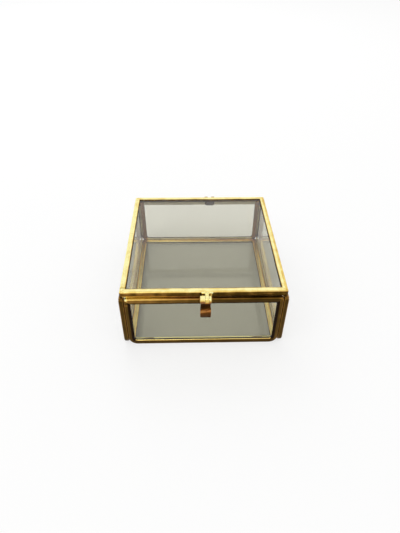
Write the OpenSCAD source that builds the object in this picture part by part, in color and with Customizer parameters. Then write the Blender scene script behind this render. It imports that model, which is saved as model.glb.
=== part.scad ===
// Glass jewelry box: brass-edged panes, a hinged glass lid and a small front clasp.
// Millimetres, +Z up, clasp towards -Y. The origin is the middle of the footprint,
// clasp and hinge included, on the surface that the box stands on.

/* [Body] */
// Width over the two side panels
body_w = 100; // [70:1:160]
// Depth over the front and back panels
body_d = 110; // [70:1:180]
// Height of the open body without its lid
body_h = 39.2; // [30:0.2:80]
// Outer radius of the panels' lower corners
corner_r = 5.5; // [4.5:0.5:10]

/* [Brass channel] */
// Thickness of the brass sheet
sheet_t = 0.45; // [0.35:0.05:0.6]
// How far the channel reaches over the glass, from its outer face
channel_leg = 3.7; // [3:0.1:4.2]
// How far the front of the floor's channel reaches over the floor glass
floor_front_leg = 1.2; // [1.1:0.1:3.6]
// Outer radius of the channel's bends
bend_r = 0.8; // [0.5:0.1:0.9]
// Gap left where the two ends of a frame meet
seam_gap = 0.25; // [0.1:0.05:0.5]

/* [Glass] */
// Thickness of the body's panes
glass_t = 2; // [1.8:0.1:3]
// Thickness of the lid's pane
lid_glass_t = 2.4; // [1.8:0.1:3.2]
// Clearance between a pane and each leg of its channel
glass_side_gap = 0.05; // [0.02:0.01:0.15]
// Clearance between a pane's edge and the back of its channel
glass_edge_gap = 0.15; // [0.05:0.05:0.4]

/* [Lid] */
// How far the lid stays in from each side of the body
lid_side_inset = 0.75; // [0:0.05:2]
// How far the lid stays in from the front of the body
lid_front_inset = 1.8; // [1.2:0.1:3]
// How far the lid stays in from the back of the body
lid_back_inset = 2; // [1.6:0.1:3]
// Parting gap between the body and the closed lid
parting_gap = 0.8; // [0.7:0.05:1.2]
// How far the lid's front edge hangs down into the parting gap
lid_lip_drop = 0.4; // [0.1:0.05:0.4]

/* [Solder] */
// Leg of the solder fillets inside the upright corners
corner_solder_leg = 1.2; // [0.6:0.1:2]
// Leg of the solder tacks between the floor and the walls
tack_leg = 0.6; // [0.3:0.1:0.7]
// Length of each solder tack
tack_len = 7; // [3:0.5:14]
// Distance of the tacks from the ends of the floor panel
tack_from_end = 9; // [6:0.5:16]

/* [Hinge] */
// Sideways place of the hinge
hinge_x = 7.5; // [-20:0.5:20]
// Width of the hinge
hinge_w = 7.4; // [6:0.2:14]
// Width of the body leaf's middle knuckle
hinge_mid_w = 2.6; // [1.8:0.1:3.6]
// Outer radius of the hinge knuckles
hinge_knuckle_r = 1.15; // [1.1:0.05:1.3]
// Radius of the hinge pin
hinge_pin_r = 0.6; // [0.5:0.05:0.65]
// Height of the hinge knuckles above the back panel
hinge_rise = 0.25; // [0.2:0.05:0.4]
// How far the body leaf's tongue hangs down inside the back panel
tongue_drop = 3.9; // [2:0.1:6]
// Corner radius of the tongue
tongue_corner_r = 1.6; // [0.5:0.1:2.5]
// How far the stop heel reaches past the hinge axis
heel_reach = 1.8; // [1.7:0.05:2.2]
// Angle at which the heel meets the back panel
lid_stop_angle = 105; // [95:1:115]

/* [Clasp] */
// Sideways place of the clasp
clasp_x = 0.9; // [-10:0.1:10]
// Outer radius of the clasp knuckles
clasp_knuckle_r = 2.2; // [1.9:0.05:2.4]
// Radius of the clasp pin
clasp_pin_r = 1.2; // [0.8:0.05:1.3]
// How far the top of the clasp knuckles stays below the top of the lid
clasp_top_drop = 0.4; // [0:0.05:0.5]
// How far the clasp knuckles stand clear of the leaf on the lid
clasp_stand = 0.75; // [0.7:0.05:1.2]
// Width of the strap's left knuckle
clasp_left_w = 2.8; // [2:0.1:4]
// Width of the lid leaf's knuckle between the strap's knuckles
clasp_mid_w = 2.1; // [1.6:0.1:3]
// Width of the strap's right knuckle
clasp_right_w = 1.3; // [1.2:0.1:4]
// Width of the strap below its knuckles
strap_w = 6.4; // [4:0.1:6.4]
// Thickness of the strap
strap_t = 0.55; // [0.4:0.05:0.7]
// Gap between the closed strap's waist and the front panel
strap_gap = 0.35; // [0.3:0.05:0.8]
// Depth of the strap's waist below the clasp pin
waist_drop = 6.6; // [5:0.2:8]
// Height of the finger tab below the waist
tab_drop = 7.1; // [5:0.1:9]
// How far the finger tab stands out from the waist
tab_flare = 2; // [1:0.1:3]
// Width of the clasp leaf on the lid
clasp_leaf_w = 6; // [4:0.1:8]

/* [Hidden] */

$fn = 48;
pin_gap = 0.05;          // running clearance between a pin and its knuckles
knuckle_gap = 0.12;      // side clearance between neighbouring knuckles
leaf_gap = 0.3;          // clearance between turning knuckles and what they pass
leaf_t = 0.5;            // sheet of the hinge and clasp leaves
pin_head_t = 0.35;       // thickness of a pin's peened head
pin_head_share = 0.8;    // radius of a pin's head against that of its knuckles
wing_share = 0.8;        // height of the web behind a lid knuckle against the knuckle's radius
bend_limit = 1.9;        // widest outer bend in sheet thicknesses, so that metal stays at its corner
cut = 1;                 // how far a cutting shape runs past what it cuts

brass_dark = [0.42, 0.31, 0.13];
brass_gold = [0.84, 0.69, 0.36];
glass_tint = [0.78, 0.84, 0.80, 0.35];
solder_grey = [0.66, 0.62, 0.52];

bend = min(bend_r, bend_limit * sheet_t);
channel_t = glass_t + 2 * (sheet_t + glass_side_gap);
lid_channel_t = lid_glass_t + 2 * (sheet_t + glass_side_gap);
pane_inset = sheet_t + glass_edge_gap;

// Hinge axis and its reach behind the body, measured from the back panel's outer face
hinge_ahead = lid_back_inset - leaf_gap - hinge_knuckle_r;
hinge_z = body_h + hinge_rise + hinge_knuckle_r;
heel_gap = 0.06;
heel_t = 0.35;
heel_face = hinge_ahead + heel_gap;
heel_back = heel_face * cos(lid_stop_angle) + heel_reach * sin(lid_stop_angle);
back_reach = max(heel_back, hinge_knuckle_r) - hinge_ahead;

// Clasp axis, measured from the front panel's outer face
clasp_out = leaf_t + clasp_stand + clasp_knuckle_r - lid_front_inset;
waist_out = strap_gap + strap_t / 2;
tab_out = waist_out + tab_flare;
front_reach = max(clasp_out + clasp_knuckle_r, tab_out + strap_t);

front_y = (front_reach - back_reach - body_d) / 2;
back_y = front_y + body_d;
mid_y = front_y + body_d / 2;
left_x = -body_w / 2;
right_x = body_w / 2;
inner_w = body_w - 2 * channel_t;
inner_d = body_d - 2 * channel_t;

lid_w = body_w - 2 * lid_side_inset;
lid_d = body_d - lid_front_inset - lid_back_inset;
lid_z = body_h + parting_gap;
lid_front_y = front_y + lid_front_inset;
lid_back_y = back_y - lid_back_inset;

hinge_y = back_y - hinge_ahead;
clasp_y = front_y - clasp_out;
clasp_z = lid_z + lid_channel_t - clasp_knuckle_r - clasp_top_drop;
clasp_w = clasp_left_w + clasp_mid_w + clasp_right_w + 2 * knuckle_gap;
clasp_left_x = clasp_x - clasp_w / 2;
clasp_mid_x = clasp_left_x + clasp_left_w + knuckle_gap;
clasp_right_x = clasp_mid_x + clasp_mid_w + knuckle_gap;

// ---------- flat shapes ----------

// Section of the brass channel: outer face on the Y axis, open towards +X
module channel_section(t) {
    difference() {
        union() {
            translate([bend, 0]) square([channel_leg - bend, t]);
            translate([0, bend]) square([channel_leg, t - 2 * bend]);
            translate([bend, bend]) circle(r = bend);
            translate([bend, t - bend]) circle(r = bend);
        }
        translate([sheet_t, sheet_t]) square([channel_leg, t - 2 * sheet_t]);
    }
}

// Pane outline of width w from height 0 to h, its two lower corners rounded to r
module pane_outline(w, h, r) {
    translate([-w / 2, r]) square([w, h - r]);
    translate([-w / 2 + r, 0]) square([w - 2 * r, r + cut / 2]);
    for (side = [-1, 1]) translate([side * (w / 2 - r), r]) circle(r = r);
}

// ---------- panels, drawn flat: X across, Y up, Z through the thickness ----------

// A run of channel along X from x0 to x1. Each end is cut square, or mitred back to its leg.
module mitred_run(x0, x1, t, start_leg, end_leg) {
    intersection() {
        translate([x0 - cut, 0, 0]) rotate([90, 0, 90])
            linear_extrude(x1 - x0 + 2 * cut) channel_section(t);
        translate([0, 0, -cut]) linear_extrude(t + 2 * cut) polygon([
            [x0, 0], [x1, 0],
            [x1 - end_leg, channel_leg], [x0 + start_leg, channel_leg]
        ]);
    }
}

// A quarter turn of channel that joins a run along X to a run along Y
module channel_bend(t) {
    rotate([0, 0, 180]) rotate_extrude(angle = 90)
        translate([corner_r, 0]) mirror([1, 0]) channel_section(t);
}

// One strip of channel bent round a pane. Its two ends meet at the upper left corner,
// where the top run covers the end of the left run. Lower corners are round or mitred.
module channel_frame(w, h, t, round_low) {
    low = round_low ? corner_r : 0;
    low_leg = round_low ? 0 : channel_leg;
    low_x = w / 2 - low;
    left_top = h - channel_leg - seam_gap;
    translate([0, h, 0]) rotate([0, 0, 180]) mitred_run(-w / 2, w / 2, t, channel_leg, 0);
    translate([w / 2, 0, 0]) rotate([0, 0, 90]) mitred_run(low, h, t, low_leg, channel_leg);
    translate([-w / 2, 0, 0]) rotate([0, 0, -90]) mitred_run(-left_top, -low, t, 0, low_leg);
    mitred_run(-low_x, low_x, t, low_leg, low_leg);
    if (round_low) {
        translate([-low_x, low, 0]) channel_bend(t);
        translate([low_x, low, 0]) mirror([1, 0, 0]) channel_bend(t);
    }
}

// The pane that a frame of the same outer size holds
module framed_pane(w, h, pane_t, round_low) {
    corner = round_low ? corner_r - pane_inset : cut;
    translate([0, pane_inset, sheet_t + glass_side_gap]) linear_extrude(pane_t)
        if (round_low) pane_outline(w - 2 * pane_inset, h - 2 * pane_inset, corner);
        else translate([-w / 2 + pane_inset, 0]) square([w - 2 * pane_inset, h - 2 * pane_inset]);
}

// Places for the five body panels and the lid, outer face outwards
module at_front() { translate([0, front_y + channel_t, 0]) rotate([90, 0, 0]) children(); }
module at_back() { translate([0, back_y - channel_t, 0]) rotate([90, 0, 180]) children(); }
module at_left() { translate([left_x + channel_t, mid_y, 0]) rotate([90, 0, -90]) children(); }
module at_right() { translate([right_x - channel_t, mid_y, 0]) rotate([90, 0, 90]) children(); }
module at_floor() { translate([0, front_y + channel_t, 0]) children(); }
module at_lid() { translate([0, lid_back_y, lid_z]) mirror([0, 1, 0]) children(); }

// ---------- body ----------

module floor_glass() { color(glass_tint) at_floor() framed_pane(inner_w, inner_d, glass_t, false); }
module front_glass() { color(glass_tint) at_front() framed_pane(inner_w, body_h, glass_t, true); }
module back_glass() { color(glass_tint) at_back() framed_pane(inner_w, body_h, glass_t, true); }
module left_glass() { color(glass_tint) at_left() framed_pane(body_d, body_h, glass_t, true); }
module right_glass() { color(glass_tint) at_right() framed_pane(body_d, body_h, glass_t, true); }

// The floor's channel, its front legs trimmed back between the side legs
module floor_frame() {
    open_w = inner_w - 2 * channel_leg;
    color(brass_gold) at_floor() difference() {
        channel_frame(inner_w, inner_d, channel_t, false);
        translate([-open_w / 2, floor_front_leg, -cut])
            cube([open_w, channel_leg - floor_front_leg + cut, channel_t + 2 * cut]);
    }
}

module front_frame() { color(brass_dark) at_front() channel_frame(inner_w, body_h, channel_t, true); }
module back_frame() { color(brass_dark) at_back() channel_frame(inner_w, body_h, channel_t, true); }
module left_frame() { color(brass_dark) at_left() channel_frame(body_d, body_h, channel_t, true); }
module right_frame() {
    color(brass_dark) at_right() mirror([1, 0, 0]) channel_frame(body_d, body_h, channel_t, true);
}

// Hollow-faced fillet of the given leg, its square corner on the origin
module fillet_section(leg) {
    difference() {
        square([leg, leg]);
        translate([leg, leg]) circle(r = leg);
    }
}

// Solder drawn up the four inside corners of the body
module corner_solder() {
    low = corner_r + cut;
    color(solder_grey)
        for (sx = [0, 1], sy = [0, 1])
            translate([0, mid_y, low])
                mirror([sx, 0, 0]) mirror([0, sy, 0])
                    translate([-inner_w / 2, -inner_d / 2, 0])
                        linear_extrude(body_h - channel_leg - low) fillet_section(corner_solder_leg);
}

// Two solder tacks along each edge of the floor panel
module floor_solder() {
    color(solder_grey)
        translate([0, mid_y, channel_t])
            for (side = [0, 1], end = [0, 1]) {
                mirror([side, 0, 0]) mirror([0, end, 0])
                    translate([-inner_w / 2, -inner_d / 2 + tack_from_end + tack_len, 0])
                        rotate([90, 0, 0]) linear_extrude(tack_len) fillet_section(tack_leg);
                mirror([end, 0, 0]) mirror([0, side, 0])
                    translate([-inner_w / 2 + tack_from_end, -inner_d / 2, 0])
                        rotate([90, 0, 90]) linear_extrude(tack_len) fillet_section(tack_leg);
            }
}

// ---------- hinge ----------

// A solid knuckle along X from x0, centred on the axis at y and z
module knuckle(x0, y, z, r, width) {
    translate([x0, y, z]) rotate([0, 90, 0]) cylinder(r = r, h = width);
}

// Pin with a peened head at each end
module headed_pin(x0, y, z, r, width, head_r) {
    knuckle(x0, y, z, r, width);
    knuckle(x0 - pin_head_t, y, z, head_r, pin_head_t);
    knuckle(x0 + width, y, z, head_r, pin_head_t);
}

// Tongue inside the back panel, folded over its top and curled round the pin
module hinge_body_leaf() {
    tongue_y = back_y - channel_t - leaf_t;
    wide_d = hinge_y - hinge_knuckle_r - leaf_gap - tongue_y;
    straight = hinge_w / 2 - tongue_corner_r;
    color(brass_dark) difference() {
        union() {
            translate([hinge_x, tongue_y + leaf_t, body_h - tongue_drop]) rotate([90, 0, 0])
                linear_extrude(leaf_t) {
                    translate([-hinge_w / 2, tongue_corner_r])
                        square([hinge_w, tongue_drop - tongue_corner_r + leaf_t]);
                    translate([-straight, 0]) square([2 * straight, tongue_corner_r * 2]);
                    for (side = [-1, 1]) translate([side * straight, tongue_corner_r])
                        circle(r = tongue_corner_r);
                }
            translate([hinge_x - hinge_w / 2, tongue_y, body_h])
                cube([hinge_w, wide_d, leaf_t]);
            translate([hinge_x - hinge_mid_w / 2, tongue_y, body_h])
                cube([hinge_mid_w, hinge_y - tongue_y, leaf_t]);
            knuckle(hinge_x - hinge_mid_w / 2, hinge_y, hinge_z, hinge_knuckle_r, hinge_mid_w);
        }
        knuckle(hinge_x - hinge_w, hinge_y, hinge_z, hinge_pin_r + pin_gap, 2 * hinge_w);
    }
}

module hinge_pin() {
    color(brass_gold)
        headed_pin(hinge_x - hinge_w / 2 - pin_gap, hinge_y, hinge_z, hinge_pin_r,
            hinge_w + 2 * pin_gap, hinge_knuckle_r * pin_head_share);
}

// Side view of the stop heel, hanging from the hinge axis as it does with the lid
// leant back. Its flat side meets the back panel and its tip is rounded.
module heel_section() {
    translate([heel_face, heel_t - heel_reach]) {
        square([heel_t, heel_reach - heel_t]);
        intersection() {
            circle(r = heel_t);
            translate([0, -heel_t]) square([heel_t, 2 * heel_t]);
        }
    }
}

// Plate on the lid's back edge with a knuckle at each side. Each knuckle ends in a
// heel that comes up against the back panel when the lid leans back.
module hinge_lid_leaf() {
    outer_w = (hinge_w - hinge_mid_w) / 2 - knuckle_gap;
    slot_w = hinge_mid_w + 2 * knuckle_gap;
    slot_top = hinge_z + hinge_knuckle_r + leaf_gap;
    plate_top = lid_z + lid_channel_t - bend;
    color(brass_dark) difference() {
        union() {
            translate([hinge_x - hinge_w / 2, lid_back_y, lid_z + sheet_t / 2])
                cube([hinge_w, leaf_t, plate_top - lid_z - sheet_t / 2]);
            for (x0 = [hinge_x - hinge_w / 2, hinge_x + hinge_w / 2 - outer_w]) {
                knuckle(x0, hinge_y, hinge_z, hinge_knuckle_r, outer_w);
                translate([x0, lid_back_y, hinge_z])
                    cube([outer_w, hinge_y - lid_back_y, hinge_knuckle_r * wing_share]);
                translate([x0, hinge_y, hinge_z]) rotate([lid_stop_angle, 0, 0])
                    rotate([90, 0, 90]) linear_extrude(outer_w) heel_section();
            }
        }
        translate([hinge_x - slot_w / 2, lid_back_y - cut, lid_z - cut])
            cube([slot_w, leaf_t + 2 * cut, slot_top - lid_z + cut]);
        knuckle(hinge_x - hinge_w, hinge_y, hinge_z, hinge_pin_r + pin_gap, 2 * hinge_w);
    }
}

// ---------- lid ----------

module lid_glass() { color(glass_tint) at_lid() framed_pane(lid_w, lid_d, lid_glass_t, false); }

// The lid's channel, with a lip along its front that closes the view into the parting gap
module lid_frame() {
    color(brass_gold) {
        at_lid() channel_frame(lid_w, lid_d, lid_channel_t, false);
        translate([-lid_w / 2 + bend, lid_front_y, lid_z - lid_lip_drop])
            cube([lid_w - 2 * bend, sheet_t, lid_lip_drop + bend]);
    }
}

// ---------- clasp ----------

// Plate on the lid's front edge, folded out and curled round the clasp pin
module clasp_lid_leaf() {
    plate_z = lid_z + sheet_t;
    plate_top = lid_z + lid_channel_t - bend;
    color(brass_gold) difference() {
        union() {
            translate([clasp_mid_x + clasp_mid_w / 2 - clasp_leaf_w / 2, lid_front_y - leaf_t, plate_z])
                cube([clasp_leaf_w, leaf_t, plate_top - plate_z]);
            translate([clasp_mid_x, clasp_y, plate_top - leaf_t])
                cube([clasp_mid_w, lid_front_y - clasp_y, leaf_t]);
            knuckle(clasp_mid_x, clasp_y, clasp_z, clasp_knuckle_r, clasp_mid_w);
        }
        knuckle(clasp_mid_x - cut, clasp_y, clasp_z, clasp_pin_r + pin_gap, clasp_mid_w + 2 * cut);
    }
}

module clasp_pin() {
    color(brass_gold)
        headed_pin(clasp_left_x - pin_gap, clasp_y, clasp_z, clasp_pin_r,
            clasp_w + 2 * pin_gap, clasp_knuckle_r * pin_head_share);
}

// Point at t on the cubic curve with end points a, d and handles b, c
function bezier(a, b, c, d, t) =
    a * pow(1 - t, 3) + b * 3 * t * pow(1 - t, 2) + c * 3 * t * t * (1 - t) + d * pow(t, 3);

// Middle line of the strap's side view: X outwards from the front panel, Y up,
// from the front of the knuckles through the waist and the flare to the finger tab
knee_share = 0.38;       // how far down the finger tab its knee lies
strap_top = [clasp_out + clasp_knuckle_r - strap_t / 2, 0];
strap_waist = [waist_out, -waist_drop];
strap_knee = [tab_out - strap_t / 2, -waist_drop - tab_drop * knee_share];
strap_tip = [tab_out, -waist_drop - tab_drop];

// Handles of the curves at those points, as shares of the waist's drop and of the tab's size
top_pull = [0, -0.4];
waist_pull_up = [0, 0.5];
waist_pull_down = [0, -0.28];
knee_pull = [0.4, -0.04];
tip_pull = [0.08, 0.3];
function waist_share(pull) = pull * waist_drop;
function tab_share(pull) = [pull[0] * tab_flare, pull[1] * tab_drop];

strap_steps = 8;
strap_line = concat(
    [for (i = [0 : strap_steps]) bezier(strap_top, strap_top + waist_share(top_pull),
        strap_waist + waist_share(waist_pull_up), strap_waist, i / strap_steps)],
    [for (i = [1 : strap_steps]) bezier(strap_waist, strap_waist + tab_share(waist_pull_down),
        strap_knee - tab_share(knee_pull), strap_knee, i / strap_steps)],
    [for (i = [1 : strap_steps]) bezier(strap_knee, strap_knee + tab_share(knee_pull),
        strap_tip + tab_share(tip_pull), strap_tip, i / strap_steps)]
);

// Unit vector square to the line at its point i, pointing outwards
function line_side(line, i) =
    let (a = line[max(i - 1, 0)], b = line[min(i + 1, len(line) - 1)], d = b - a)
    [-d[1], d[0]] / norm(d);

// Outline of a sheet of thickness t that follows the line
function sheet_outline(line, t) = concat(
    [for (i = [0 : len(line) - 1]) line[i] + line_side(line, i) * t / 2],
    [for (i = [len(line) - 1 : -1 : 0]) line[i] - line_side(line, i) * t / 2]
);

// Strap that hangs in front of the upper rail, with two knuckles on the clasp pin
module clasp_strap() {
    slot_w = clasp_mid_w + 2 * knuckle_gap;
    color(brass_gold) difference() {
        union() {
            knuckle(clasp_left_x, clasp_y, clasp_z, clasp_knuckle_r, clasp_left_w);
            knuckle(clasp_right_x, clasp_y, clasp_z, clasp_knuckle_r, clasp_right_w);
            translate([clasp_x + strap_w / 2, front_y, clasp_z]) rotate([90, 0, -90])
                linear_extrude(strap_w) polygon(sheet_outline(strap_line, strap_t));
        }
        knuckle(clasp_left_x - cut, clasp_y, clasp_z, clasp_pin_r + pin_gap, clasp_w + 2 * cut);
        knuckle(clasp_mid_x - knuckle_gap, clasp_y, clasp_z, clasp_knuckle_r + leaf_gap / 2, slot_w);
    }
}

floor_glass();
front_glass();
back_glass();
left_glass();
right_glass();
floor_frame();
front_frame();
back_frame();
left_frame();
right_frame();
corner_solder();
floor_solder();
hinge_body_leaf();
hinge_pin();
lid_glass();
lid_frame();
hinge_lid_leaf();
clasp_lid_leaf();
clasp_pin();
clasp_strap();
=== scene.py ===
"""A small glass jewelry box in brass channel, with a hinged lid and a front clasp."""
import math

import bmesh
import bpy
from bpy.props import FloatProperty, FloatVectorProperty, IntProperty, PointerProperty
from mathutils import Matrix, Vector, noise


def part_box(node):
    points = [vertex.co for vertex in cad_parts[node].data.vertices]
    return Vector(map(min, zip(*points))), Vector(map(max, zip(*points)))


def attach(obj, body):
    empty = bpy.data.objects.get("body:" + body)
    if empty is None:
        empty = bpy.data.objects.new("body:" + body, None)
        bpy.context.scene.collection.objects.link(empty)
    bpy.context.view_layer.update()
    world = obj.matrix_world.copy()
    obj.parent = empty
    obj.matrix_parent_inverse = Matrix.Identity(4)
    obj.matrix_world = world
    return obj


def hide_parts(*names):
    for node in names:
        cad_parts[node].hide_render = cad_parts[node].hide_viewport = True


bl_info = {
    "name": "Glass Jewelry Box",
    "version": (1, 0, 0),
    "blender": (4, 5, 0),
    "location": "View3D > Sidebar > Jewelry Box",
    "description": "Brass-edged panes, hinge, clasp and solder of a small glass box",
    "category": "Object",
}

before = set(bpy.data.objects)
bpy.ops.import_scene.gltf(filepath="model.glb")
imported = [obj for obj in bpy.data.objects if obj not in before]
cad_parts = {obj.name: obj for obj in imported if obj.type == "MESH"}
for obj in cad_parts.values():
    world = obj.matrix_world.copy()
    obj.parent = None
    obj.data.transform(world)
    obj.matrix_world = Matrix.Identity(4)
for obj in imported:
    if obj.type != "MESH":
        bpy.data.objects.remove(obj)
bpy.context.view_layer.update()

MM = 0.001


# ---------- what a user may change ----------

def length(name, description, millimetres, low, high):
    """A size in metres, written in millimetres."""
    return FloatProperty(
        name=name, description=description, default=millimetres * MM,
        min=low * MM, max=high * MM, precision=5, unit="LENGTH")


def colour(name, description, value):
    """A linear colour."""
    return FloatVectorProperty(
        name=name, description=description, default=value, size=3,
        min=0.0, max=1.0, subtype="COLOR")


class BoxSizes(bpy.types.PropertyGroup):
    """Sizes of the sheet, the folds and the hand-made marks."""

    leg: length("Channel leg", "How far the channel reaches over the glass", 3.7, 3.0, 4.2)
    sheet: length("Sheet", "Thickness of the brass sheet", 0.45, 0.3, 0.6)
    bend: length("Bend", "Outer radius of the channel's long bends", 0.8, 0.5, 1.0)
    corner: length("Lower corner", "Outer radius of the round lower corners", 5.5, 4.5, 10.0)
    wall_fold: length("Wall fold", "Outer radius of a wall's folded upper corners", 1.7, 0.5, 3.0)
    lid_fold: length("Lid fold", "Outer radius of the folded corners of lid and floor",
                     0.9, 0.3, 2.0)
    lip_drop: length("Lip drop", "How far each leg leans in towards the glass", 0.14, 0.0, 0.25)
    low_slope: length("Low slope", "Width of the slope filed along the lower lips",
                      0.36, 0.1, 0.45)
    lid_lip: length("Lid lip", "How far the lid's front edge hangs below its channel",
                    0.4, 0.1, 0.4)
    lip_wave: length("Lip wave", "How unevenly the lips were trimmed", 0.16, 0.0, 0.4)
    side_wave: length("Side wave", "How unevenly the faces were pressed", 0.07, 0.0, 0.2)
    crease: length("Crease", "Depth of the crease in a folded corner", 0.2, 0.0, 0.3)
    seam_gap: length("Seam gap", "Gap where the two ends of a strip meet", 0.25, 0.1, 0.5)
    step: length("Step", "Distance between the sections of a straight run", 1.6, 0.5, 5.0)
    mark_depth: length("Mark depth", "Depth of the hammer and finger marks", 0.07, 0.0, 0.15)
    pane_edge: length("Pane edge", "Ground edge of the panes", 0.25, 0.05, 0.5)
    floor_front_leg: length("Floor front leg", "How far the floor's front channel reaches",
                            1.2, 1.1, 3.6)
    clasp_middle: length("Clasp middle", "Width of the clasp's middle knuckle", 2.1, 1.6, 3.0)
    clasp_radius: length("Clasp radius", "Outer radius of the clasp knuckles", 2.2, 1.9, 2.4)
    clasp_bore: length("Clasp bore", "Inner radius of the clasp knuckles", 1.25, 0.8, 1.4)
    strap_width: length("Strap width", "Width of the clasp strap", 6.4, 4.0, 6.4)
    strap_sheet: length("Strap sheet", "Thickness of the clasp strap", 0.55, 0.4, 0.7)
    strap_gap: length("Strap gap", "Gap between the strap's waist and the wall", 0.35, 0.3, 0.8)
    waist_drop: length("Waist drop", "Depth of the strap's waist below its pin", 6.6, 5.0, 8.0)
    tab_flare: length("Tab flare", "How far the finger tab stands out", 2.0, 1.0, 3.0)
    pin_head: length("Pin head", "Thickness of a pin's head", 0.35, 0.2, 0.5)
    pin_play: length("Pin play", "Play between a pin's head and its knuckles", 0.05, 0.0, 0.1)
    knuckle_gap: length("Knuckle gap", "Gap between two knuckles", 0.12, 0.05, 0.2)
    seed: IntProperty(name="Seed", description="Picks the pattern of the hand-made marks",
                      default=7, min=0, max=999)


class BoxColours(bpy.types.PropertyGroup):
    """Colours of the brass, the solder, the glass and the stage."""

    brass_black: colour("Brass black", "Deepest patina", (0.014, 0.005, 0.001))
    # The upright faces take the brown tones partly as painted shade, since only faces that look
    # up are painted lighter
    brass_brown: colour("Brass brown", "Brown patina of the upright faces", (0.092, 0.049, 0.006))
    brass_tan: colour("Brass tan", "Thin patina", (0.44, 0.215, 0.045))
    brass_gold: colour("Brass gold", "Polished brass", (0.87, 0.63, 0.16))
    brass_cream: colour("Brass cream", "Brightest worn brass", (1.0, 0.94, 0.46))
    copper_brown: colour("Copper brown", "Brown patina of the clasp", (0.105, 0.038, 0.006))
    copper: colour("Copper", "Thin patina of the clasp", (0.42, 0.165, 0.045))
    solder: colour("Solder", "Lacquered solder", (0.42, 0.33, 0.17))
    tinned: colour("Tinned", "Dull tinned inner faces", (0.86, 0.81, 0.60))
    glass: colour("Glass", "Tint of the panes", (0.828, 0.822, 0.76))
    floor: colour("Floor", "Pale studio floor", (0.80, 0.80, 0.79))


# ---------- small tools ----------

def sizes():
    """The sizes that a user may change."""
    return bpy.context.scene.box_sizes


def colours():
    """The colours that a user may change."""
    return bpy.context.scene.box_colours


def node(tree, kind, inputs=None, **settings):
    """Adds a node, sets it up, and links or fills its inputs."""
    made = tree.nodes.new(kind)
    for key, value in settings.items():
        setattr(made, key, value)
    for key, value in (inputs or {}).items():
        if isinstance(value, bpy.types.NodeSocket):
            tree.links.new(value, made.inputs[key])
        else:
            made.inputs[key].default_value = value
    return made


def maths(tree, operation, first, second=0.0, clamp=False):
    """Output of a math node."""
    made = node(tree, "ShaderNodeMath", {0: first, 1: second}, operation=operation)
    made.use_clamp = clamp
    return made.outputs[0]


def weighted_sum(tree, start, *terms):
    """start plus each (socket, weight) term."""
    total = start
    for socket, weight in terms:
        total = maths(tree, "ADD", maths(tree, "MULTIPLY", socket, weight), total)
    return total


def new_material(name):
    """An empty node material and its output node."""
    material = bpy.data.materials.new(name)
    material.use_nodes = True
    material.node_tree.nodes.clear()
    return material, node(material.node_tree, "ShaderNodeOutputMaterial")


def new_object(name, mesh):
    """Links a mesh as an object at the origin."""
    made = bpy.data.objects.new(name, mesh)
    bpy.context.scene.collection.objects.link(made)
    return made


def finish_piece(piece, body, slot, *nodes):
    """Hands a finished piece to its body, in place of the CAD nodes that it stands for."""
    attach(piece, body)
    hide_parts(*nodes)


def wander(*place):
    """Smooth noise from -1 to 1 at a place of up to three numbers."""
    seed = sizes().seed * 0.37
    point = Vector((*place, 0.0, 0.0)[:3])
    return noise.noise(point + Vector((seed, 2.7 * seed, 5.1 * seed)))


# ---------- materials ----------

# Features per metre of the patterns on the brass, the solder and the glass
BLOTCHES, SPECKS = 170.0, 2600.0
STREAKS_ALONG, STREAKS_ACROSS = 55.0, 1300.0
CLOUDS, PITS = 420.0, 2800.0
SMUDGES, DUST = 38.0, 900.0


def ramp(tree, factor, stops):
    """Colour of a ramp through (position, colour) stops."""
    made = node(tree, "ShaderNodeValToRGB", {0: factor})
    band = made.color_ramp
    while len(band.elements) < len(stops):
        band.elements.new(0.5)
    for element, (position, tone) in zip(band.elements, stops):
        element.position = position
        element.color = (*tone, 1.0)
    return made.outputs[0]


def noise_at(tree, where, scale, detail=3.0, rough=0.55):
    """Noise value at a coordinate, at a scale in features per metre."""
    return node(tree, "ShaderNodeTexNoise", {
        "Vector": where, "Scale": scale, "Detail": detail, "Roughness": rough}).outputs[0]


def attribute(tree, name):
    """A piece's own attribute, as the node that reads it."""
    return node(tree, "ShaderNodeAttribute", attribute_name=name)


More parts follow.
